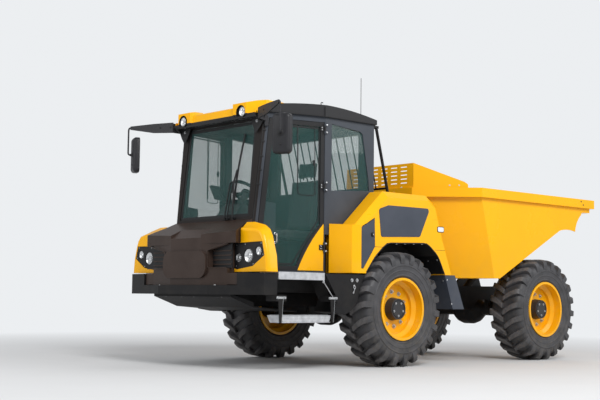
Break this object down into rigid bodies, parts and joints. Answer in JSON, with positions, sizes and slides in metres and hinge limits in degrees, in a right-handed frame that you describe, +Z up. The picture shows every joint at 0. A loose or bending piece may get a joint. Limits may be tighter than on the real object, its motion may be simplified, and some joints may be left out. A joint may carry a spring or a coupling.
{
  "type": "articulated site dumper",
  "caption": "Articulated four-wheel site dumper with a closed cab over the front axle and a tipping skip behind, with hinged doors and side hatches.",
  "frame": {"origin": "on the ground, under the middle of the whole machine", "axes": "+X forward to the nose and the cab, +Y to the machine's left, +Z up"},
  "size_m": [5.497, 2.586, 3],
  "materials": {
    "amber_paint": "gloss",
    "dark_grey_paint": "satin",
    "chassis_black": "satin",
    "cab_grey": "satin",
    "interior_grey": "matte",
    "seat_cloth": "woven",
    "tyre_rubber": "matte",
    "flap_rubber": "matte",
    "tinted_glass": "tinted",
    "lamp_lens": "clear",
    "rod_chrome": "polished",
    "bright_tread": "brushed",
    "black_plastic": "matte",
    "mirror_shell": "matte"
  },
  "bodies": {
    "front_body": {"front_frame": "chassis_black", "front_axle": "chassis_black", "cab_frame": "cab_grey", "cab_roof": "black_plastic", "antenna": "black_plastic", "cab_glass": "tinted_glass", "cab_floor": "chassis_black", "seat": "seat_cloth", "console": "interior_grey", "bumper": "chassis_black", "cowl": "dark_grey_paint", "corner_fenders": "amber_paint", "nose_inserts": "black_plastic", "lamps": "lamp_lens", "visor": "amber_paint", "fenders": "amber_paint", "fender_panels": "dark_grey_paint", "engine_cover": "chassis_black", "engine_block": "chassis_black", "skirts": "chassis_black", "treads": "bright_tread", "mirrors": "mirror_shell", "rear_guard": "chassis_black"},
    "rear_body": {"rear_frame": "chassis_black", "rear_axle": "chassis_black", "tow_clevis": "chassis_black"},
    "skip": {"skip": "amber_paint", "skip_guard": "amber_paint"},
    "tip_barrels": {"tip_ram_barrels": "chassis_black"},
    "tip_rods": {"tip_ram_rods": "rod_chrome"},
    "steer_barrel_left": {"steer_ram_barrel_left": "chassis_black"},
    "steer_rod_left": {"steer_ram_rod_left": "rod_chrome"},
    "door_left": {"door_frame_left": "black_plastic", "door_panel_left": "amber_paint", "door_glass_left": "tinted_glass"},
    "hatch_left": {"hatch_left": "dark_grey_paint"},
    "wheel_front_left": {"tyre_front_left": "tyre_rubber", "rim_front_left": "amber_paint"},
    "wheel_rear_left": {"tyre_rear_left": "tyre_rubber", "rim_rear_left": "amber_paint"},
    "steer_barrel_right": {"steer_ram_barrel_right": "chassis_black"},
    "steer_rod_right": {"steer_ram_rod_right": "rod_chrome"},
    "door_right": {"door_frame_right": "black_plastic", "door_panel_right": "amber_paint", "door_glass_right": "tinted_glass"},
    "hatch_right": {"hatch_right": "dark_grey_paint"},
    "wheel_front_right": {"tyre_front_right": "tyre_rubber", "rim_front_right": "amber_paint"},
    "wheel_rear_right": {"tyre_rear_right": "tyre_rubber", "rim_rear_right": "amber_paint"}
  },
  "joints": [
    {"name": "steer", "type": "hinge", "parent": "front_body", "child": "rear_body", "pos_m": [-0.4405, 0, 0.71], "axis": [0, 0, 1], "range_deg": [-30, 30]},
    {"name": "wheel_front_left_spin", "type": "hinge", "parent": "front_body", "child": "wheel_front_left", "pos_m": [0.7915, 0.94, 0.585], "axis": [0, 1, 0], "continuous": true},
    {"name": "wheel_rear_left_spin", "type": "hinge", "parent": "rear_body", "child": "wheel_rear_left", "pos_m": [-1.6735, 0.94, 0.585], "axis": [0, 1, 0], "continuous": true},
    {"name": "wheel_front_right_spin", "type": "hinge", "parent": "front_body", "child": "wheel_front_right", "pos_m": [0.7915, -0.94, 0.585], "axis": [0, 1, 0], "continuous": true},
    {"name": "wheel_rear_right_spin", "type": "hinge", "parent": "rear_body", "child": "wheel_rear_right", "pos_m": [-1.6735, -0.94, 0.585], "axis": [0, 1, 0], "continuous": true},
    {"name": "skip_tip", "type": "hinge", "parent": "rear_body", "child": "skip", "pos_m": [-2.1085, 0, 1.17], "axis": [0, -1, 0], "range_deg": [0, 65]},
    {"name": "tip_ram_swing", "type": "hinge", "parent": "rear_body", "child": "tip_barrels", "pos_m": [-1.1085, 0, 0.62], "axis": [0, -1, 0], "range_deg": [-2.35, 0.2]},
    {"name": "tip_ram_stroke", "type": "slide", "parent": "tip_barrels", "child": "tip_rods", "axis": [-0.7578, 0, 0.6525], "range_m": [0, 0.304]},
    {"name": "steer_ram_swing_left", "type": "hinge", "parent": "front_body", "child": "steer_barrel_left", "pos_m": [0.0095, 0.3, 0.71], "axis": [0, 0, 1], "range_deg": [-5.49, 5.49]},
    {"name": "steer_ram_stroke_left", "type": "slide", "parent": "steer_barrel_left", "child": "steer_rod_left", "axis": [-0.9806, -0.1961, 0], "range_m": [-0.1051, 0.1051]},
    {"name": "steer_ram_swing_right", "type": "hinge", "parent": "front_body", "child": "steer_barrel_right", "pos_m": [0.0095, -0.3, 0.71], "axis": [0, 0, 1], "range_deg": [-5.49, 5.49]},
    {"name": "steer_ram_stroke_right", "type": "slide", "parent": "steer_barrel_right", "child": "steer_rod_right", "axis": [-0.9806, 0.1961, 0], "range_m": [-0.1051, 0.1051]},
    {"name": "door_left_swing", "type": "hinge", "parent": "front_body", "child": "door_left", "pos_m": [1.62523, 0.82661, 1.8], "axis": [0, 0, 1], "range_deg": [0, 85]},
    {"name": "door_right_swing", "type": "hinge", "parent": "front_body", "child": "door_right", "pos_m": [1.62523, -0.82661, 1.8], "axis": [0, 0, -1], "range_deg": [0, 85]},
    {"name": "hatch_left_swing", "type": "hinge", "parent": "front_body", "child": "hatch_left", "pos_m": [1.3432, 1.072, 1.2], "axis": [0, 0, -1], "range_deg": [0, 100]},
    {"name": "hatch_right_swing", "type": "hinge", "parent": "front_body", "child": "hatch_right", "pos_m": [1.3432, -1.072, 1.2], "axis": [0, 0, 1], "range_deg": [0, 100]}
  ],
  "couplings": [
    {"joint": "tip_ram_swing", "follows": "skip_tip", "ratio": -0.03307},
    {"joint": "tip_ram_stroke", "follows": "skip_tip", "m_per_rad": 0.26706},
    {"joint": "steer_ram_swing_left", "follows": "steer", "ratio": 0.17622},
    {"joint": "steer_ram_stroke_left", "follows": "steer", "m_per_rad": 0.19884},
    {"joint": "steer_ram_swing_right", "follows": "steer", "ratio": 0.17622},
    {"joint": "steer_ram_stroke_right", "follows": "steer", "m_per_rad": -0.19884}
  ]
}
